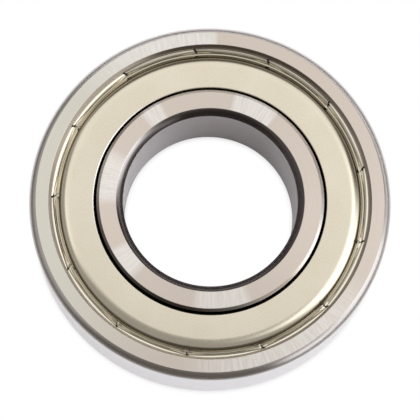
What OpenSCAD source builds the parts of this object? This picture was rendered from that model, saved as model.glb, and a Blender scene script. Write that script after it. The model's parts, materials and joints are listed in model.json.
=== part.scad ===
// Single-row deep-groove ball bearing with a sheet-metal shield on each side.
// The bearing's axis is Z and its mid-plane is z = 0. All sizes are in millimetres.

/* [Main sizes] */
// Diameter of the bore
bore_d = 30; // [29:0.5:30.5]
// Outside diameter
outer_d = 62; // [62:0.5:64]
// Width of both rings
width = 16; // [16:0.25:18]
// Radius of the rounded corners at the bore and at the outside
corner_r = 1.15; // [0.6:0.05:1.2]

/* [Balls and raceways] */
// Number of balls
ball_count = 9; // [6:1:9]
// Ball diameter
ball_d = 9.525; // [9:0.025:9.6]
// Diameter of the circle through the ball centres
pitch_d = 46; // [45.9:0.05:46.1]
// Raceway radius as a share of the ball diameter
conformity = 0.515; // [0.51:0.005:0.53]
// Free play between a ball and each raceway
race_play = 0.01; // [0.005:0.005:0.02]

/* [Rings] */
// Inside diameter of the outer ring beside the raceway
outer_shoulder_d = 51.4; // [51:0.1:51.6]
// Outside diameter of the inner ring beside the raceway
inner_shoulder_d = 40.4; // [40:0.1:40.6]
// Outside diameter of the inner ring's ends, inside the shields
inner_land_d = 39; // [38.6:0.1:39.1]
// Inside diameter of the outer ring's lips
lip_d = 54.4; // [54.3:0.05:54.5]
// Width of the chamfer on the lip
lip_chamfer = 0.48; // [0.2:0.02:0.5]
// Width of the chamfer round the inner ring's face
land_chamfer = 0.35; // [0.15:0.05:0.4]
// Length of the inner ring's stepped-down ends
land_length = 1.7; // [1.5:0.05:1.8]

/* [Shields] */
// Thickness of the sheet
shield_t = 0.4; // [0.3:0.05:0.5]
// Diameter of the hole in the shield
shield_hole_d = 39.84; // [39.7:0.02:40.2]
// Depth of the shield's flat face below the ring faces
shield_recess = 0.6; // [0.4:0.05:0.8]
// Outside diameter of the shield's flat face
shield_flat_d = 49.2; // [48.6:0.1:49.6]
// Diameter at which the sloping wall meets the seat
shield_valley_d = 51.7; // [51.5:0.1:52]
// Depth of the shield's seat below the ring faces
seat_depth = 1.95; // [1.9:0.01:2]
// Diameter of the circle along the middle of the curled rim
curl_d = 53.84; // [53.8:0.01:53.85]
// Radius of the curled rim's round section
curl_r = 0.45; // [0.4:0.01:0.45]
// Number of slits in the curled rim
slit_count = 13; // [8:1:16]
// Width of a slit
slit_w = 0.3; // [0.15:0.05:0.5]
// Lean of a slit from the radial direction
slit_lean = 38; // [0:1:45]
// Angular place of the first slit
slit_phase = 95; // [0:1:360]

/* [Cage] */
// Thickness of the cage's sheet
cage_t = 0.9; // [0.6:0.05:1]
// Inside diameter of the cage
cage_inner_d = 41.8; // [41.6:0.1:42.4]
// Outside diameter of the cage
cage_outer_d = 50.2; // [49.6:0.1:50.4]
// Free play between a ball and its pocket
pocket_play = 0.12; // [0.08:0.01:0.15]
// Diameter of a rivet's shank
rivet_d = 1.2; // [0.8:0.1:1.4]
// Diameter of a rivet's head
rivet_head_d = 2.3; // [2:0.1:2.5]
// Height of a rivet's head
rivet_head_h = 0.5; // [0.3:0.05:0.6]

/* [Hidden] */
$fn = 128;
half = width / 2;
bore_r = bore_d / 2;
outer_r = outer_d / 2;
ball_r = ball_d / 2;
pitch_r = pitch_d / 2;
ball_step = 360 / ball_count;

// Raceways: arcs a little larger than the ball, whose deepest point is race_play off the ball
race_r = conformity * ball_d;
inner_race_centre = pitch_r - ball_r - race_play + race_r;
outer_race_centre = pitch_r + ball_r + race_play - race_r;

// Outer ring's inside, from the face inwards
outer_shoulder_r = outer_shoulder_d / 2;
lip_r = lip_d / 2;
seat_z = half - seat_depth;
curl_play = 0.02;
groove_wall_h = 0.1;
groove_flank_h = 0.3;
groove_r = curl_d / 2 + curl_r + curl_play;
groove_flank_z = seat_z + curl_r + groove_wall_h;
groove_top_z = groove_flank_z + groove_flank_h;

// Inner ring's outside
inner_shoulder_r = inner_shoulder_d / 2;
inner_land_r = inner_land_d / 2;
step_slope = inner_shoulder_r - inner_land_r;

// Shield heights above the mid-plane
flat_top_z = half - shield_recess;
flat_under_z = flat_top_z - shield_t;
valley_top_z = seat_z + shield_t;
slit_reach = 0.5;

// Cage pockets and rivet holes
pocket_r = ball_r + pocket_play;
pocket_outer_r = pocket_r + cage_t;
hole_play = 0.02;

overshoot = 1;
steel = "gainsboro";
sheet_steel = "wheat";
cage_steel = "tan";

balls = [for (i = [1:ball_count]) str("ball_", i)];
rivets = [for (i = [1:ball_count]) str("cage_rivet_", i)];

// Rectangle from one corner to the other, in a section with the radius along X
module band(r1, r2, z1, z2) {
    translate([r1, z1])
        square([r2 - r1, z2 - z1]);
}

// Section of a plain ring from radius back to radius edge, with both corners at edge rounded
module ring_blank(back, edge) {
    inset = edge - sign(edge - back) * corner_r;
    band(min(back, inset), max(back, inset), -half, half);
    band(min(inset, edge), max(inset, edge), corner_r - half, half - corner_r);
    for (end = [-1, 1])
        translate([inset, end * (half - corner_r)])
            circle(corner_r);
}

// Half section of the room that one end of the outer ring leaves for its shield
module outer_end_room() {
    polygon([
        [0, seat_z],
        [groove_r, seat_z],
        [groove_r, groove_flank_z],
        [lip_r, groove_top_z],
        [lip_r, half - lip_chamfer],
        [lip_r + lip_chamfer, half],
        [lip_r + lip_chamfer + overshoot, half + overshoot],
        [0, half + overshoot]
    ]);
}

// Half section of what is cut from one end of the inner ring, outside its face
module inner_end_room() {
    polygon([
        [inner_land_r - land_chamfer - overshoot, half + overshoot],
        [inner_land_r - land_chamfer, half],
        [inner_land_r, half - land_chamfer],
        [inner_land_r, half - land_length],
        [inner_shoulder_r, half - land_length - step_slope],
        [inner_shoulder_r + overshoot, half - land_length - step_slope],
        [inner_shoulder_r + overshoot, half + overshoot]
    ]);
}

module outer_ring() {
    color(steel)
        rotate_extrude()
            difference() {
                ring_blank(outer_shoulder_r, outer_r);
                translate([outer_race_centre, 0])
                    circle(race_r);
                outer_end_room();
                mirror([0, 1])
                    outer_end_room();
            }
}

module inner_ring() {
    color(steel)
        rotate_extrude()
            difference() {
                ring_blank(inner_shoulder_r, bore_r);
                translate([inner_race_centre, 0])
                    circle(race_r);
                inner_end_room();
                mirror([0, 1])
                    inner_end_room();
            }
}

// Half section of a shield: flat face, sloping wall, seat and curled rim
module shield_section() {
    polygon([
        [shield_hole_d / 2, flat_under_z],
        [shield_flat_d / 2 - shield_t / 2, flat_under_z],
        [shield_valley_d / 2 - shield_t / 2, seat_z],
        [curl_d / 2, seat_z],
        [curl_d / 2, valley_top_z],
        [shield_valley_d / 2 + shield_t / 4, valley_top_z],
        [shield_flat_d / 2, flat_top_z],
        [shield_hole_d / 2, flat_top_z]
    ]);
    translate([curl_d / 2, seat_z + curl_r])
        circle(curl_r);
}

// Leaning cuts through the curled rim, which let it be pressed into the groove
module rim_slits() {
    for (i = [0:slit_count - 1])
        rotate([0, 0, slit_phase + i * 360 / slit_count])
            translate([curl_d / 2, 0, seat_z + curl_r])
                rotate([0, 0, slit_lean])
                    translate([-slit_reach, -slit_w / 2, -overshoot])
                        cube([slit_reach + 2 * overshoot, slit_w, 2 * overshoot]);
}

module shield() {
    color(sheet_steel)
        difference() {
            rotate_extrude()
                shield_section();
            rim_slits();
        }
}

module shield_upper() {
    shield();
}

module shield_lower() {
    rotate([180, 0, 0])
        shield();
}

// Half of the pressed cage: a flat ribbon that bulges over each ball and is riveted between them
module cage_half() {
    color(cage_steel)
        difference() {
            intersection() {
                rotate_extrude()
                    band(cage_inner_d / 2, cage_outer_d / 2, 0, pocket_outer_r + overshoot);
                union() {
                    cylinder(r = outer_r, h = cage_t);
                    at_balls()
                        sphere(pocket_outer_r);
                }
            }
            at_balls()
                sphere(pocket_r);
            at_rivets()
                cylinder(d = rivet_d + 2 * hole_play, h = 2 * overshoot + 2 * cage_t, center = true);
        }
}

module cage_half_upper() {
    cage_half();
}

module cage_half_lower() {
    mirror([0, 0, 1])
        cage_half();
}

// A place on the pitch circle, counted in balls from the X axis, where 1 is the first ball
module at_pitch(i) {
    rotate([0, 0, (i - 1) * ball_step])
        translate([pitch_r, 0, 0])
            children();
}

module at_balls() {
    for (i = [1:ball_count])
        at_pitch(i)
            children();
}

// Halfway between each ball and the next
module at_rivets() {
    for (i = [1:ball_count])
        at_pitch(i + 0.5)
            children();
}

module ball(i) {
    color(steel)
        at_pitch(i)
            sphere(ball_r);
}

// Domed head of a rivet, standing on the cage
module rivet_head() {
    dome_r = (pow(rivet_head_d / 2, 2) + pow(rivet_head_h, 2)) / (2 * rivet_head_h);
    intersection() {
        translate([0, 0, cage_t])
            cylinder(d = rivet_head_d, h = rivet_head_h + overshoot);
        translate([0, 0, cage_t + rivet_head_h - dome_r])
            sphere(dome_r);
    }
}

// Rivet between ball i and the next one
module cage_rivet(i) {
    color(cage_steel)
        at_pitch(i + 0.5) {
            cylinder(d = rivet_d, h = 2 * cage_t, center = true);
            rivet_head();
            mirror([0, 0, 1])
                rivet_head();
        }
}

outer_ring();
inner_ring();
shield_upper();
shield_lower();
cage_half_upper();
cage_half_lower();
for (i = [1:ball_count])
    ball(i);
for (i = [1:ball_count])
    cage_rivet(i);
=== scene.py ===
"""A shielded deep-groove ball bearing lying flat on a pale table, seen from above."""

import json
import math

import bmesh
import bpy
from mathutils import Matrix, Vector


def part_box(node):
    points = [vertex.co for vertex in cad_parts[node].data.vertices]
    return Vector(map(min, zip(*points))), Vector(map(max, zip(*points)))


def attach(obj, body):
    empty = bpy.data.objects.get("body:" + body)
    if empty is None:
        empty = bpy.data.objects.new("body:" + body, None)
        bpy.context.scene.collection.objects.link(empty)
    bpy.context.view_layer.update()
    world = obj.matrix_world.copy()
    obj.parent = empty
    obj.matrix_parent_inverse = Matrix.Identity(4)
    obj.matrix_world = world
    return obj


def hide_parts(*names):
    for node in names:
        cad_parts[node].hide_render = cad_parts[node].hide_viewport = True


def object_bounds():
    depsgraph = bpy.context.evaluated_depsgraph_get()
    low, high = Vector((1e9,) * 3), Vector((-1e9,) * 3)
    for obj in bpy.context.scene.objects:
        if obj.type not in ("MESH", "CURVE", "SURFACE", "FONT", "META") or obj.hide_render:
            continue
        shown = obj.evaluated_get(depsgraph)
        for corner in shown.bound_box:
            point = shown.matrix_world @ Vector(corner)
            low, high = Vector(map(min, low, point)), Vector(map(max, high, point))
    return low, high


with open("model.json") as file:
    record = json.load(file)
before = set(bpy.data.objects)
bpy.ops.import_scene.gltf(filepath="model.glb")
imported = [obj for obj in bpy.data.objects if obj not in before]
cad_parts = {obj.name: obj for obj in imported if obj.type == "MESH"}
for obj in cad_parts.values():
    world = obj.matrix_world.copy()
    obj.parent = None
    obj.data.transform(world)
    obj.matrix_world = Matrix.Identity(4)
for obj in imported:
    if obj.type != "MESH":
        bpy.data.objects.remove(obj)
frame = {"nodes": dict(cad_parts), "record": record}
cad_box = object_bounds()

MM = 0.001

# ---------------------------------------------------------------- sizes, in millimetres

mounts = {m["name"]: m for m in frame["record"]["mounts"]}
BORE_R = mounts["bore"]["dims"]["r_mm"]
OUTER_R = mounts["outside_diameter"]["dims"]["r_mm"]
HALF = cad_box[1].z / MM
FLAT_LENGTH = mounts["bore"]["dims"]["length_mm"] / 2
CORNER_R = HALF - FLAT_LENGTH


def low_high(node):
    """Lowest and highest corner of a CAD node, in millimetres."""
    low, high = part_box(node)
    return low / MM, high / MM


ball_low, ball_high = low_high("ball_1")
BALL_R = (ball_high.z - ball_low.z) / 2
PITCH_R = (ball_high.x + ball_low.x) / 2
shield_low, shield_high = low_high("shield_upper")
SEAT_Z = shield_low.z
FLAT_TOP_Z = shield_high.z
INNER_SHOULDER_R = low_high("inner_ring")[1].x

# The rings
CONFORMITY = 0.515  # the raceways' radius as a share of the ball diameter
RACE_R = CONFORMITY * 2 * BALL_R
RACE_PLAY = 0.01
RACE_STEPS = 14
OUTER_SHOULDER_R = 25.7
GROOVE_R = 27.39
GROOVE_FLANK_Z = SEAT_Z + 0.55
GROOVE_TOP_Z = SEAT_Z + 0.85
LIP_R = 27.2
LIP_CHAMFER = 0.48
INNER_LAND_R = 19.5
EDGE_W = 0.48
EDGE_DROP = 0.34
LAND_Z = HALF - 1.7
CORNER_BULGE = 0.3  # how far a corner bulges, as a share of a quarter circle's bulge
CORNER_STEPS = 8

# The shields
SHEET_T = 0.4
HOLE_R = 19.92
HOLE_EDGE_Z = FLAT_TOP_Z - 0.75 * SHEET_T  # below the rounding of the hole's upper edge
FLAT_R = 24.0
SHOULDER_R = 3.0
WALL_R = 26.0
WALL_FOOT = ((0.14, 0.05), (0.2, 0.01), (0.26, 0.0))  # outwards from the wall, and up from the valley
VALLEY_Z = SEAT_Z + SHEET_T
NICK_W = 0.05  # the nick between the valley and the curl
NICK_DEPTH = 0.09
CURL_FOOT_R = 26.5
CURL_TOP_R = 27.12
CURL_OUT_R = 27.37
CURL_H = 0.9  # above the seat
TAPER = 0.42  # how much of its height a tab loses beside a slit
TAPER_POWER = 2.5
SLITS = 13
SLIT_PHASE = math.radians(95)
SLIT_W = 0.3
SLIT_LEAN = math.radians(38)  # from the radial direction
CREASE_START_R = WALL_R - 0.6  # the crease that runs inwards from each slit
CREASE_RUN = 0.4
CREASE_DEPTH = 0.03
CREASE_REACH = 0.2

RING_SEGMENTS = 320
EDGE_LOOP = 0.03  # from a rounded edge to the loop that keeps the face beside it flat
SHARP_TURN = math.radians(17)  # edges that turn more than this look sharp

# ---------------------------------------------------------------- outlines


def arc(centre, radius, start, end, steps):
    """Points along an arc, with the angles in degrees."""
    angles = [math.radians(start + (end - start) * i / steps) for i in range(steps + 1)]
    return [
        (centre[0] + radius * math.cos(a), centre[1] + radius * math.sin(a))
        for a in angles
    ]


def turned(vector, angle):
    """A flat vector turned anticlockwise."""
    c, s = math.cos(angle), math.sin(angle)
    return Vector((vector.x * c - vector.y * s, vector.x * s + vector.y * c))


def rounded(corners, step_degrees=12):
    """An open outline through corners (r, z, fillet radius), each rounded by its radius."""
    points = [corners[0][:2]]
    for before, corner, after in zip(corners, corners[1:], corners[2:]):
        here = Vector(corner[:2])
        to_before = (Vector(before[:2]) - here).normalized()
        to_after = (Vector(after[:2]) - here).normalized()
        opening = to_before.angle(to_after)
        turn = math.pi - opening
        if corner[2] <= 0 or turn < 1e-3:
            points.append(tuple(here))
            continue
        reach = corner[2] / math.tan(opening / 2)
        centre = here + (to_before + to_after).normalized() * corner[2] / math.sin(opening / 2)
        first = here + to_before * reach - centre
        last = here + to_after * reach - centre
        swing = first.angle_signed(last)
        steps = max(2, math.ceil(math.degrees(turn) / step_degrees))
        points.append(tuple(here + to_before * (reach + EDGE_LOOP)))
        for i in range(steps + 1):
            points.append(tuple(centre + turned(first, -swing * i / steps)))
        points.append(tuple(here + to_after * (reach + EDGE_LOOP)))
    points.append(corners[-1][:2])
    return points


def flattened_corner(face, side):
    """A ring's turned corner, from a point on the face to one on the side, with a crisp edge at both."""
    start, end = Vector(face), Vector(side)
    chord = end - start
    outwards = Vector((math.copysign(1, chord.x), 1)).normalized()
    bulge = CORNER_BULGE * CORNER_R * (1 - math.cos(math.pi / 4))
    shares = [i / CORNER_STEPS for i in range(CORNER_STEPS + 1)]
    return [tuple(start + chord * t + outwards * bulge * (1 - (2 * t - 1) ** 2)) for t in shares]


def both_halves(upper):
    """A closed outline from its upper half, which starts and ends on the mid-plane."""
    lower = [(r, -z) for r, z in reversed(upper[1:-1])]
    return upper + lower


def outer_ring_outline():
    centre_r = PITCH_R + BALL_R + RACE_PLAY - RACE_R
    reach = math.degrees(math.acos((OUTER_SHOULDER_R - centre_r) / RACE_R))
    raceway = arc((centre_r, 0), RACE_R, 0, reach, RACE_STEPS)
    rest = rounded([
        (*raceway[-1], 0),
        (OUTER_SHOULDER_R, SEAT_Z, 0.12),
        (GROOVE_R, SEAT_Z, 0.05),
        (GROOVE_R, GROOVE_FLANK_Z, 0.05),
        (LIP_R, GROOVE_TOP_Z, 0.04),
        (LIP_R, HALF - LIP_CHAMFER, 0.1),
        (LIP_R + LIP_CHAMFER, HALF, 0.06),
        (OUTER_R - CORNER_R, HALF, 0),
    ])
    corner = flattened_corner((OUTER_R - CORNER_R, HALF), (OUTER_R, FLAT_LENGTH))
    return both_halves(raceway + rest[1:] + corner[1:] + [(OUTER_R, 0)])


def inner_ring_outline():
    centre_r = PITCH_R - BALL_R - RACE_PLAY + RACE_R
    reach = math.degrees(math.acos((centre_r - INNER_SHOULDER_R) / RACE_R))
    raceway = arc((centre_r, 0), RACE_R, 180, 180 - reach, RACE_STEPS)
    rest = rounded([
        (*raceway[-1], 0),
        (INNER_SHOULDER_R, LAND_Z - (INNER_SHOULDER_R - INNER_LAND_R), 0.15),
        (INNER_LAND_R, LAND_Z, 0.15),
        (INNER_LAND_R, HALF - EDGE_DROP, 0.08),
        (INNER_LAND_R - EDGE_W, HALF, 0.08),
        (BORE_R + CORNER_R, HALF, 0),
    ])
    corner = flattened_corner((BORE_R + CORNER_R, HALF), (BORE_R, FLAT_LENGTH))
    return both_halves(raceway + rest[1:] + corner[1:] + [(BORE_R, 0)])


# ---------------------------------------------------------------- meshes


def lathe(name, outline, segments=RING_SEGMENTS):
    """A closed outline turned round the Z axis."""
    mesh = bpy.data.meshes.new(name)
    verts, faces = [], []
    count = len(outline)
    for s in range(segments):
        a = 2 * math.pi * s / segments
        verts += [(r * math.cos(a) * MM, r * math.sin(a) * MM, z * MM) for r, z in outline]
    for s in range(segments):
        here, there = s * count, (s + 1) % segments * count
        for i in range(count):
            j = (i + 1) % count
            faces.append((here + i, there + i, there + j, here + j))
    mesh.from_pydata(verts, [], faces)
    return finished(name, mesh)


def finished(name, mesh):
    """The object of a mesh, with its faces outwards and smooth."""
    bm = bmesh.new()
    bm.from_mesh(mesh)
    bmesh.ops.recalc_face_normals(bm, faces=bm.faces)
    bm.to_mesh(mesh)
    bm.free()
    mesh.shade_smooth()
    mesh.set_sharp_from_angle(angle=SHARP_TURN)
    obj = bpy.data.objects.new(name, mesh)
    bpy.context.scene.collection.objects.link(obj)
    return obj


def slit_distance(angle):
    """Arc length in millimetres from the nearest slit's middle line."""
    pitch = 2 * math.pi / SLITS
    offset = (angle - SLIT_PHASE + pitch / 2) % pitch - pitch / 2
    return offset * CURL_TOP_R


def shield_columns():
    """The angles of the shield's columns: even along each tab, and close together beside each slit."""
    pitch = 2 * math.pi / SLITS
    edge = SLIT_W / 2 / CURL_TOP_R
    from_slit = (0, 0.05, 0.12, 0.2, 0.35, 0.6, 1.0, 1.5)
    near = [edge + d / CURL_TOP_R for d in from_slit]
    steps = 12
    across = [near[-1] + (pitch - 2 * near[-1]) * i / steps for i in range(1, steps)]
    tab = near + across + [pitch - n for n in reversed(near)]
    return [SLIT_PHASE + pitch * k + a for k in range(SLITS) for a in tab]


def shoulder(depth, steps):
    """The drawn shoulder from the flat down towards the valley, at a depth into the sheet."""
    radius = SHOULDER_R - depth
    fall = math.degrees(math.asin((WALL_R - FLAT_R) / SHOULDER_R))
    return arc((FLAT_R, FLAT_TOP_Z - SHOULDER_R), radius, 90, 90 - fall, steps)


def oval(centre, across, up, start, end, steps):
    """Points along part of an oval, with the angles in degrees."""
    return [
        (centre[0] + (r - centre[0]) * across, centre[1] + (z - centre[1]) * up)
        for r, z in arc(centre, 1, start, end, steps)
    ]


def shield_outline():
    """The shield's closed outline: its top from the hole outwards, the curl, and its underside back
    in. Returns the points, and the range of those that a slit cuts."""
    top = rounded([
        (HOLE_R, HOLE_EDGE_Z, 0),
        (HOLE_R, FLAT_TOP_Z, 0.25),
        (FLAT_R, FLAT_TOP_Z, 0),
    ], step_degrees=10)[:-1]
    top += shoulder(depth=0, steps=14)
    top += [(WALL_R + out, VALLEY_Z + up) for out, up in WALL_FOOT]
    top += [(CURL_FOOT_R - NICK_W, VALLEY_Z)]
    curl = [(CURL_FOOT_R - NICK_W * 0.6, VALLEY_Z - NICK_DEPTH)]
    inner_w, inner_h = CURL_TOP_R - CURL_FOOT_R, SEAT_Z + CURL_H - VALLEY_Z
    curl += oval((CURL_TOP_R, VALLEY_Z), inner_w, inner_h, 180, 90, steps=12)
    outer_w, outer_h = CURL_OUT_R - CURL_TOP_R, CURL_H / 2
    curl += oval((CURL_TOP_R, SEAT_Z + outer_h), outer_w, outer_h, 90, -90, steps=20)[1:]
    under = [(CURL_FOOT_R, SEAT_Z), (WALL_R - SHEET_T * 0.6, SEAT_Z)]
    under += shoulder(depth=SHEET_T, steps=8)[::-1]
    under += rounded([
        (FLAT_R, FLAT_TOP_Z - SHEET_T, 0),
        (HOLE_R, FLAT_TOP_Z - SHEET_T, 0.06),
        (HOLE_R, HOLE_EDGE_Z, 0),
    ], step_degrees=10)[1:-1]
    return top + curl + under, (len(top), len(top) + len(curl) - 1)


def shield_point(r, z, angle, cut):
    """Where a point of the outline goes at an angle. Each tab's curl tapers towards its slits, and a
    crease runs inwards from each slit across the valley."""
    d = abs(slit_distance(angle))
    lean = math.tan(SLIT_LEAN) * max(r - CURL_FOOT_R, 0) / CURL_TOP_R
    if cut:
        half_tab = math.pi / SLITS * CURL_TOP_R
        keep = 1 - TAPER * (1 - min(1, d / half_tab)) ** TAPER_POWER
        r = CURL_OUT_R + (r - CURL_OUT_R) * keep
        z = VALLEY_Z + (z - VALLEY_Z) * (keep if z > VALLEY_Z else 1)
    elif r > CREASE_START_R:
        beside = max(0, 1 - (d - SLIT_W / 2) / CREASE_REACH)
        z -= CREASE_DEPTH * beside ** 2 * min(1, (r - CREASE_START_R) / CREASE_RUN)
    a = angle + lean
    return (r * math.cos(a) * MM, r * math.sin(a) * MM, z * MM)


def shield_mesh(name):
    """A pressed sheet shield whose curled rim is slit into tabs."""
    outline, (first, last) = shield_outline()
    columns = shield_columns()
    count, per_tab = len(outline), len(columns) // SLITS
    verts = [
        shield_point(r, z, a, first <= i <= last)
        for a in columns
        for i, (r, z) in enumerate(outline)
    ]
    faces = []
    for c in range(len(columns)):
        here, there = c * count, (c + 1) % len(columns) * count
        at_slit = c % per_tab == per_tab - 1
        for i in range(count):
            j = (i + 1) % count
            if at_slit and first <= i < last:
                continue
            faces.append((here + i, there + i, there + j, here + j))
        if at_slit:
            faces.append(tuple(here + i for i in range(first, last + 1)))
            faces.append(tuple(there + i for i in range(last, first - 1, -1)))
            faces.append((here + first, there + first, there + last, here + last))
    mesh = bpy.data.meshes.new(name)
    mesh.from_pydata(verts, [], faces)
    return finished(name, mesh)


# ---------------------------------------------------------------- materials


class Nodes:
    """Short ways to add and link the nodes of a shader."""

    def __init__(self, tree):
        self.tree = tree

    def add(self, kind, inputs=None, **settings):
        node = self.tree.nodes.new(kind)
        for key, value in settings.items():
            setattr(node, key, value)
        for key, value in (inputs or {}).items():
            self.put(value, node.inputs[key])
        return node

    def put(self, value, socket):
        if isinstance(value, bpy.types.NodeSocket):
            self.tree.links.new(value, socket)
        else:
            socket.default_value = value

    def math(self, operation, a, b=0.0, c=0.0):
        return self.add("ShaderNodeMath", {0: a, 1: b, 2: c}, operation=operation).outputs[0]

    def times(self, a, b):
        return self.math("MULTIPLY", a, b)

    def minus(self, a, b):
        return self.math("SUBTRACT", a, b)

    def vector(self, operation, inputs, output=0):
        return self.add("ShaderNodeVectorMath", inputs, operation=operation).outputs[output]

    def dot(self, a, b):
        return self.vector("DOT_PRODUCT", {0: a, 1: b}, "Value")

    def length(self, a):
        return self.vector("LENGTH", {0: a}, "Value")

    def remap(self, value, low, high, new_low=0.0, new_high=1.0):
        inputs = {0: value, 1: low, 2: high, 3: new_low, 4: new_high}
        return self.add("ShaderNodeMapRange", inputs, interpolation_type="SMOOTHSTEP").outputs[0]

    def band(self, value, centre, half_width, edge):
        """1 where the value is near the centre and 0 further away than the half width."""
        away = self.math("ABSOLUTE", self.minus(value, centre))
        return self.remap(away, half_width + edge, half_width - edge)

    def mix(self, factor, a, b):
        node = self.add("ShaderNodeMix", data_type="RGBA")
        self.put(factor, node.inputs[0])
        self.put(a, node.inputs[6])
        self.put(b, node.inputs[7])
        return node.outputs[2]


class Steel(Nodes):
    """A bare metal surface, with patterns that follow how it was turned, ground or rolled."""

    def __init__(self, name):
        self.material = bpy.data.materials.new(name)
        self.material.use_nodes = True
        super().__init__(self.material.node_tree)
        self.shader = self.tree.nodes["Principled BSDF"]
        self.shader.inputs["Metallic"].default_value = 1.0
        self.place = self.add("ShaderNodeTexCoord").outputs["Object"]
        parts = self.add("ShaderNodeSeparateXYZ", {0: self.place}).outputs
        flat = self.add("ShaderNodeCombineXYZ", {0: parts[0], 1: parts[1]}).outputs[0]
        self.outwards = self.vector("NORMALIZE", {0: flat})
        self.r = self.times(self.length(flat), 1 / MM)
        self.z = self.times(parts[2], 1 / MM)

    def turned_noise(self, around, across, detail=2.0, shift=0.0):
        """Noise that is drawn out along the circle when around is small, or along the radius when
        across is. Across is per millimetre."""
        scaled = self.vector("SCALE", {0: self.outwards, 3: around})
        in_depth = self.math("MULTIPLY_ADD", self.r, across, shift)
        depth = self.add("ShaderNodeCombineXYZ", {2: in_depth}).outputs[0]
        vector = self.vector("ADD", {0: scaled, 1: depth})
        height = self.times(self.z, across)
        inputs = {"Vector": vector, "W": height, "Scale": 1.0, "Detail": detail}
        return self.add("ShaderNodeTexNoise", inputs, noise_dimensions="4D").outputs["Fac"]

    def even_noise(self, per_mm, detail=2.0):
        inputs = {"Vector": self.place, "Scale": per_mm / MM, "Detail": detail}
        return self.add("ShaderNodeTexNoise", inputs).outputs["Fac"]

    def sector(self, centre, half_width, edge=2.0):
        """1 within a sector of the circle and 0 outside it, all in degrees."""
        a = math.radians(centre)
        along = self.dot(self.outwards, (math.cos(a), math.sin(a), 0))
        outside = math.cos(math.radians(half_width + edge))
        inside = math.cos(math.radians(half_width - edge))
        return self.remap(along, outside, inside)

    def sectors(self, shapes):
        """1 within any of some sectors."""
        masks = [self.sector(*shape) for shape in shapes]
        total = masks[0]
        for mask in masks[1:]:
            total = self.math("MAXIMUM", total, mask)
        return total

    def colour(self, value):
        self.put(value, self.shader.inputs["Base Color"])

    def roughness(self, value):
        self.put(value, self.shader.inputs["Roughness"])

    def spread(self, noise, low, high):
        """The middle of a noise's range stretched from low to high."""
        return self.remap(noise, 0.3, 0.7, low, high)

    def bump(self, height, depth_mm):
        inputs = {"Height": height, "Distance": depth_mm * MM}
        self.put(self.add("ShaderNodeBump", inputs).outputs[0], self.shader.inputs["Normal"])

    def brushed_round(self, amount):
        """Spreads reflections across circles about the Z axis."""
        tangent = self.add("ShaderNodeTangent", direction_type="RADIAL", axis="Z").outputs[0]
        self.put(tangent, self.shader.inputs["Tangent"])
        self.shader.inputs["Anisotropic"].default_value = amount
        self.shader.inputs["Anisotropic Rotation"].default_value = 0.25


# Sectors of the circle, in degrees: the middle, the half width and the edge.
# Painted highlights in sectors of the ground faces, standing in for reflections, and where the outer
# face is painted cooler, standing in for a cool reflection
INNER_PAINTED_HIGHLIGHTS = ((168, 13, 4), (123, 5, 2), (65, 12, 1.5), (-84, 14, 3), (-143, 8, 3))
OUTER_PAINTED_COOL_REFLECTION = ((137, 49, 1), (200, 30, 28))
OUTER_COOL_PAINTED_HIGHLIGHT = (98, 24, 22)
OUTER_WARM_PAINTED_HIGHLIGHT = (-64, 24, 16)
# Painted highlights and painted shade on the small edges, the bore and its corner, the lip and beside
# the shield's hole
EDGE_PAINTED_HIGHLIGHT = (-14, 20, 16)
EDGE_SHADE = (-130, 34, 40)
BORE_PAINTED_HIGHLIGHTS = ((178, 34, 46), (6, 20, 26))
BORE_CORNER_PAINTED_HIGHLIGHT = (156, 14, 24)
LIP_PAINTED_HIGHLIGHT = (-118, 45, 30)
HOLE_PAINTED_HIGHLIGHT = (162, 26, 18)

# The rings' colours
WARM_GROUND = (0.65, 0.577, 0.515, 1)
# painted reflection: one side of the outer face is cooler
COOL_REFLECTION_GROUND = (0.645, 0.62, 0.552, 1)
# painted highlight in sectors of the faces
GROUND_HIGHLIGHT_PAINT = (0.82, 0.80, 0.77, 1)
DARK_GRAIN = (0.40, 0.36, 0.33, 1)
# painted highlight and painted shade on the inner ring's edge
EDGE_HIGHLIGHT_PAINT, EDGE_SHADE_PAINT = (0.96, 0.93, 0.90, 1), (0.13, 0.11, 0.10, 1)
# painted shade in the step below the inner ring's edge
INNER_STEP_SHADE_PAINT = (0.08, 0.07, 0.065, 1)
# painted highlight and painted shade on the outer ring's lip and groove
LIP_HIGHLIGHT_PAINT, LIP_SHADE_PAINT = (0.70, 0.64, 0.56, 1), (0.39, 0.345, 0.29, 1)
OUTSIDE_CORNER = (0.80, 0.77, 0.76, 1)
BRIGHT_WALL, DARK_WALL = (0.705, 0.695, 0.72, 1), (0.615, 0.605, 0.62, 1)
# the bore, with painted highlights in two sectors
BORE_HIGHLIGHT_PAINT, DARK_BORE = (0.99, 0.96, 0.97, 1), (0.74, 0.70, 0.705, 1)
# painted highlight and painted shade on the bore's corner
BORE_CORNER_HIGHLIGHT_PAINT, BORE_CORNER_SHADE_PAINT = (0.55, 0.53, 0.53, 1), (0.15, 0.133, 0.128, 1)

# The shields' colours
WARM_SHEET, PALE_SHEET = (0.735, 0.675, 0.55, 1), (0.765, 0.71, 0.585, 1)
SHEET_GRAIN = (0.52, 0.47, 0.36, 1)
CURLED_SHEET = (0.82, 0.78, 0.68, 1)
# painted highlight beside the shield's hole
HOLE_EDGE_HIGHLIGHT_PAINT = (1.0, 0.98, 0.94, 1)
# painted shade in the valley, along its edges and in the slits
CREASE_SHADE_PAINT = (0.10, 0.085, 0.055, 1)


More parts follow.
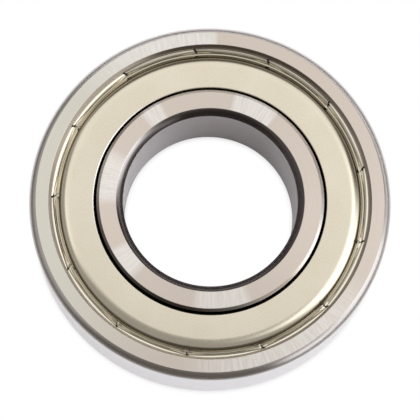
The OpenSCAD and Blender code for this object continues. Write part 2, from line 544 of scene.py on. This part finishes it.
def ground_colour(n, outer, grain):
    """The ground faces: warm, painted cooler on one side of the outer face as a painted reflection, with
    painted highlights in sectors.
    """
    spokes = n.turned_noise(80, 0.3, detail=3.0)
    cool_reflection_side = n.sectors(OUTER_PAINTED_COOL_REFLECTION)
    outer_painted_highlight = n.mix(cool_reflection_side, n.sector(*OUTER_WARM_PAINTED_HIGHLIGHT), n.sector(*OUTER_COOL_PAINTED_HIGHLIGHT))
    # painted highlights in sectors of each face
    highlight_sectors = n.mix(outer, n.sectors(INNER_PAINTED_HIGHLIGHTS), outer_painted_highlight)
    painted_highlight = n.times(highlight_sectors, n.spread(spokes, 0.5, 0.95))
    # painted cool reflection on one side of the outer face
    base = n.mix(n.times(cool_reflection_side, outer), WARM_GROUND, COOL_REFLECTION_GROUND)
    return n.mix(n.remap(grain, 0.35, 0.65, 0.14, 0.0), n.mix(painted_highlight, base, GROUND_HIGHLIGHT_PAINT), DARK_GRAIN)


def step_colour(n, outer, below_face, ground):
    """The small edges and steps off the faces, at the outer ring's lip and the inner ring's edge:
    painted highlights and shade in sectors, and painted shade deeper in the inner step.
    """
    # painted shade on one side of the inner edge, painted highlight on the other
    shaded = n.mix(n.sector(*EDGE_SHADE), ground, EDGE_SHADE_PAINT)
    edge = n.mix(n.sector(*EDGE_PAINTED_HIGHLIGHT), shaded, EDGE_HIGHLIGHT_PAINT)
    # painted shade deeper in the step
    inner_step = n.mix(n.remap(below_face, EDGE_DROP, EDGE_DROP + 0.1), edge, INNER_STEP_SHADE_PAINT)
    # the lip and groove in painted shade, with a painted highlight in one sector
    return n.mix(outer, inner_step, n.mix(n.sector(*LIP_PAINTED_HIGHLIGHT), LIP_SHADE_PAINT, LIP_HIGHLIGHT_PAINT))


def ring_steel():
    """Hardened bearing steel, ground bright on its faces and diameters, with painted shade on the bore's
    turned corner and painted highlights in sectors of the bore and its corner.
    """
    n = Steel("ring_steel")
    circles = n.turned_noise(3.0, 9.0, detail=3.0, shift=40)
    speckle = n.even_noise(3.5, detail=3.0)
    grain = n.math("ADD", n.times(speckle, 0.5), n.times(circles, 0.5))
    # a point's distance from the face and from the axis tells which surface it is on, and past an edge
    # one finish gives way to the next over a hair's breadth
    start, end, half_way = 0.01, 0.05, 0.02
    corner_inside, corner_outside = BORE_R + CORNER_R, OUTER_R - CORNER_R
    outer = n.remap(n.r, INNER_SHOULDER_R, OUTER_SHOULDER_R)
    below_face = n.minus(HALF, n.math("ABSOLUTE", n.z))
    off_face = n.remap(below_face, start, end)
    above_wall = n.remap(below_face, CORNER_R - half_way, CORNER_R + half_way, 1.0, 0.0)
    on_corner = n.times(off_face, above_wall)
    inside = n.remap(n.r, corner_inside + start, corner_inside + end, 1.0, 0.0)
    outside = n.remap(n.r, corner_outside - end, corner_outside - start)

    ground = ground_colour(n, outer, grain)
    finish = n.mix(off_face, ground, step_colour(n, outer, below_face, ground))
    finish = n.mix(n.times(outside, on_corner), finish, OUTSIDE_CORNER)
    wall_lines = n.spread(n.turned_noise(0.7, 4.5, detail=4.0, shift=90), 0.0, 1.0)
    wall = n.mix(wall_lines, DARK_WALL, BRIGHT_WALL)
    finish = n.mix(n.times(outside, n.minus(off_face, on_corner)), finish, wall)
    # painted highlights on the bore wall
    bore = n.mix(n.sectors(BORE_PAINTED_HIGHLIGHTS), DARK_BORE, BORE_HIGHLIGHT_PAINT)
    finish = n.mix(n.times(inside, off_face), finish, bore)
    # painted highlight on one side of the bore's corner, over its painted shade
    corner_highlight = n.times(n.sector(*BORE_CORNER_PAINTED_HIGHLIGHT), n.remap(below_face, 0.2, 0.6, 1.0, 0.0))
    bore_corner = n.mix(corner_highlight, BORE_CORNER_SHADE_PAINT, BORE_CORNER_HIGHLIGHT_PAINT)
    finish = n.mix(n.times(inside, on_corner), finish, bore_corner)

    n.colour(finish)
    n.roughness(n.spread(grain, 0.18, 0.25))
    n.brushed_round(0.6)
    n.bump(grain, 0.003)
    return n.material


def slit_line(n):
    """How far a point of a shield lies from the nearest slit's middle line, in millimetres."""
    xy = n.add("ShaderNodeSeparateXYZ", {0: n.outwards}).outputs
    angle = n.times(n.math("ARCTAN2", xy[1], xy[0]), n.math("SIGN", n.z))
    run = n.math("MAXIMUM", n.minus(n.r, CURL_FOOT_R), 0.0)
    upright = n.minus(angle, n.times(run, math.tan(SLIT_LEAN) / CURL_TOP_R))
    pitch = 2 * math.pi / SLITS
    turns = n.math("DIVIDE", n.minus(upright, SLIT_PHASE), pitch)
    return n.times(n.math("PINGPONG", turns, 0.5), pitch * CURL_TOP_R)


def painted_crease_shade(n):
    """How dark the painted shade lies in the valley: most of all along its two edges and in the slits.
    """
    valley = n.band(n.r, (WALL_R + CURL_FOOT_R) / 2, (CURL_FOOT_R - WALL_R) / 2, 0.15)
    trough = n.band(n.r, WALL_R - 0.25, 0.2, 0.12)
    foot = n.band(n.r, CURL_FOOT_R - 0.03, 0.05, 0.05)
    at_rim = n.remap(n.r, CURL_FOOT_R - 0.25, CURL_FOOT_R)
    slit = n.times(n.band(slit_line(n), 0.0, SLIT_W / 2, 0.06), at_rim)
    crease_shade = n.times(valley, 0.42)
    for where, amount in ((trough, 0.75), (foot, 0.8), (slit, 0.95)):
        crease_shade = n.math("MAXIMUM", crease_shade, n.times(where, amount))
    return crease_shade


def shield_steel():
    """Zinc-plated sheet with a warm tone, satin on the flat and brighter where it is bent, with a
    painted highlight beside the hole on one side and painted shade in the valley and slits.
    """
    n = Steel("shield_steel")
    cloud = n.even_noise(0.12)
    grain = n.even_noise(4.0, detail=3.0)
    drawn = n.turned_noise(5.0, 14.0, detail=2.0)
    tone = n.mix(n.spread(cloud, 0.0, 1.0), WARM_SHEET, PALE_SHEET)
    tone = n.mix(n.remap(grain, 0.35, 0.6, 0.08, 0.0), tone, SHEET_GRAIN)
    tone = n.mix(n.remap(n.r, CURL_FOOT_R, CURL_TOP_R), tone, CURLED_SHEET)
    beside_hole = n.remap(n.r, HOLE_R + 0.3, HOLE_R + 0.2)
    # painted highlight beside the hole, on one side
    tone = n.mix(n.times(n.sector(*HOLE_PAINTED_HIGHLIGHT), beside_hole), tone, HOLE_EDGE_HIGHLIGHT_PAINT)
    # painted shade in the valley and the slits
    n.colour(n.mix(painted_crease_shade(n), tone, CREASE_SHADE_PAINT))
    rolled, pressed = n.spread(grain, 0.26, 0.34), n.spread(drawn, 0.12, 0.2)
    on_bend = n.remap(n.r, FLAT_R - 0.4, FLAT_R + 1.2)
    blend = n.add("ShaderNodeMix", {0: on_bend, 2: rolled, 3: pressed}, data_type="FLOAT")
    n.roughness(blend.outputs[0])
    n.bump(n.mix(on_bend, grain, drawn), 0.0012)
    return n.material


def cage_steel():
    """Tumbled pressed sheet, a little darker than the rings."""
    n = Steel("cage_steel")
    cloud = n.even_noise(0.3)
    grain = n.even_noise(4.0, detail=4.0)
    n.colour(n.mix(cloud, (0.42, 0.40, 0.36, 1), (0.56, 0.53, 0.48, 1)))
    n.roughness(n.spread(grain, 0.3, 0.5))
    n.bump(grain, 0.01)
    return n.material


def rivet_steel():
    """Cold-formed rivet wire, its tone and roughness varying with a fine grain."""
    n = Steel("rivet_steel")
    grain = n.even_noise(5.0, detail=3.0)
    n.colour(n.mix(grain, (0.50, 0.48, 0.45, 1), (0.66, 0.64, 0.60, 1)))
    n.roughness(n.spread(grain, 0.22, 0.38))
    n.bump(grain, 0.006)
    return n.material


def ball_steel():
    """Lapped ball surface: nearly a mirror, with the faintest haze."""
    n = Steel("ball_steel")
    haze = n.even_noise(1.2, detail=4.0)
    n.colour(n.mix(haze, (0.74, 0.74, 0.75, 1), (0.80, 0.80, 0.80, 1)))
    n.roughness(n.spread(haze, 0.04, 0.09))
    n.bump(haze, 0.0008)
    return n.material


# ---------------------------------------------------------------- the bearing


def put_in_place(piece, node, body, material):
    """Makes a piece stand for a CAD node."""
    piece.data.materials.clear()
    piece.data.materials.append(material)
    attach(piece, body)
    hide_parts(node)


def make_rings():
    steel = ring_steel()
    outer = lathe("outer_ring_ground", outer_ring_outline())
    put_in_place(outer, "outer_ring", "outer", steel)
    inner = lathe("inner_ring_ground", inner_ring_outline())
    put_in_place(inner, "inner_ring", "inner", steel)


def make_shields():
    steel = shield_steel()
    upper = shield_mesh("shield_upper_pressed")
    put_in_place(upper, "shield_upper", "outer", steel)
    lower = shield_mesh("shield_lower_pressed")
    lower.data.transform(Matrix.Rotation(math.pi, 4, "X"))
    put_in_place(lower, "shield_lower", "outer", steel)


def finish_cad_parts():
    """The cage, rivets and balls keep their CAD shapes and get their steels."""
    steels = {"ball": ball_steel(), "cage_half": cage_steel(), "cage_rivet": rivet_steel()}
    for name, part in frame["nodes"].items():
        for start, steel in steels.items():
            if name.startswith(start):
                part.data.materials.clear()
                part.data.materials.append(steel)


# ---------------------------------------------------------------- studio


def make_camera():
    """Looks down at the bearing from the front, a little from the left, with +Y up the picture."""
    elevation, azimuth = math.radians(76.9), math.radians(-6)
    distance, lens = 0.320, 156.6
    aim_right, aim_down = 0.105 * MM, 0.114 * MM
    back = Vector((
        math.sin(azimuth) * math.cos(elevation),
        -math.cos(azimuth) * math.cos(elevation),
        math.sin(elevation),
    ))
    across = Vector((0, 1, 0)).cross(back).normalized()
    up = back.cross(across)
    aim = across * aim_right - up * aim_down
    data = bpy.data.cameras.new("camera")
    data.lens = lens
    data.sensor_width = 36
    data.clip_start, data.clip_end = 0.01, 50
    camera = bpy.data.objects.new("camera", data)
    camera.matrix_world = Matrix((
        (across.x, up.x, back.x, aim.x + back.x * distance),
        (across.y, up.y, back.y, aim.y + back.y * distance),
        (across.z, up.z, back.z, aim.z + back.z * distance),
        (0, 0, 0, 1),
    ))
    bpy.context.scene.collection.objects.link(camera)
    bpy.context.scene.camera = camera


def make_floor():
    """A white table. To the eye it is evenly pale but for the shadow under the bearing's edges, and to
    what the bearing reflects it has a pool of light round the bearing."""
    side = 4.0
    shadow_reach, shadow = 1.6 * MM, (0.6, 0.59, 0.6, 1)
    near, distant = (0.8, 0.8, 0.82, 1), (0.14, 0.12, 0.10, 1)
    mesh = bpy.data.meshes.new("floor")
    corners = [(-side, -side), (side, -side), (side, side), (-side, side)]
    mesh.from_pydata([(x, y, cad_box[0].z) for x, y in corners], [], [(0, 1, 2, 3)])
    material = bpy.data.materials.new("floor")
    material.use_nodes = True
    n = Nodes(material.node_tree)
    n.tree.nodes.remove(n.tree.nodes["Principled BSDF"])

    occlusion = n.add("ShaderNodeAmbientOcclusion", {"Distance": shadow_reach}, samples=16)
    pale = n.mix(n.remap(occlusion.outputs["AO"], 0.1, 0.8), shadow, (1, 1, 1, 1))
    white = n.add("ShaderNodeEmission", {"Color": pale}).outputs[0]

    r = n.length(n.add("ShaderNodeTexCoord").outputs["Object"])
    far = n.remap(r, 0.038, 0.12)
    past_ring = n.remap(r, (OUTER_R - 0.4) * MM, (OUTER_R + 0.6) * MM)
    pool = n.times(past_ring, n.minus(1.0, far))
    lit = n.add("ShaderNodeBsdfDiffuse", {"Color": n.mix(far, near, distant)}).outputs[0]
    glow = n.add("ShaderNodeEmission", {"Strength": n.times(pool, 0.5)}).outputs[0]
    reflected = n.add("ShaderNodeAddShader", {0: lit, 1: glow}).outputs[0]

    seen = n.add("ShaderNodeLightPath").outputs["Is Camera Ray"]
    surface = n.add("ShaderNodeMixShader", {0: seen, 1: reflected, 2: white}).outputs[0]
    n.put(surface, n.tree.nodes["Material Output"].inputs["Surface"])
    mesh.materials.append(material)
    floor = bpy.data.objects.new("floor", mesh)
    bpy.context.scene.collection.objects.link(floor)


class Studio(Nodes):
    """Soft light from all round, in the world's own shader."""

    def __init__(self, tree, room):
        super().__init__(tree)
        self.towards = self.add("ShaderNodeTexCoord").outputs["Generated"]
        self.light = room

    def softbox(self, azimuth, from_top, width, height, radiance, soft=0.1):
        """Adds a soft-edged panel in a direction: azimuth is anticlockwise from +X, and from_top is
        down from overhead. Its width runs level and its height up and down. All are in degrees."""
        a, t = math.radians(azimuth), math.radians(from_top)
        centre = Vector((math.cos(a) * math.sin(t), math.sin(a) * math.sin(t), math.cos(t)))
        level = Vector((-math.sin(a), math.cos(a), 0))
        mask = self.remap(self.dot(self.towards, centre), 0.0, 0.1)
        for axis, size in ((level, width), (centre.cross(level), height)):
            reach = math.sin(math.radians(size / 2))
            away = self.math("ABSOLUTE", self.dot(self.towards, axis))
            mask = self.times(mask, self.remap(away, reach + soft, reach - soft))
        inputs = {0: mask, 1: (radiance, radiance, radiance), 2: self.light}
        self.light = self.vector("MULTIPLY_ADD", inputs)


def make_lights():
    bpy.context.scene.view_settings.view_transform = "Standard"
    world = bpy.data.worlds.new("studio")
    bpy.context.scene.world = world
    world.use_nodes = True
    studio = Studio(world.node_tree, (0.11, 0.095, 0.08))
    # azimuth, from_top, width, height, radiance and how soft the edges are
    studio.softbox(94, 26, 72, 44, 0.95)  # overhead and behind
    studio.softbox(-9, 43, 36, 48, 1.65, 0.18)  # key, front right
    studio.softbox(-30, 82, 60, 24, 0.95, 0.1)  # low right
    studio.softbox(165, 70, 60, 30, 0.28, 0.15)  # low left
    studio.softbox(-100, 25, 110, 56, 0.29, 0.12)  # front
    studio.softbox(60, 88, 130, 14, 1.1, 0.1)  # low, behind and right
    seen = studio.add("ShaderNodeLightPath").outputs["Is Camera Ray"]
    background = world.node_tree.nodes["Background"]
    studio.put(studio.mix(seen, studio.light, (1, 1, 1, 1)), background.inputs["Color"])


make_camera()
make_floor()
make_lights()
make_rings()
make_shields()
finish_cad_parts()
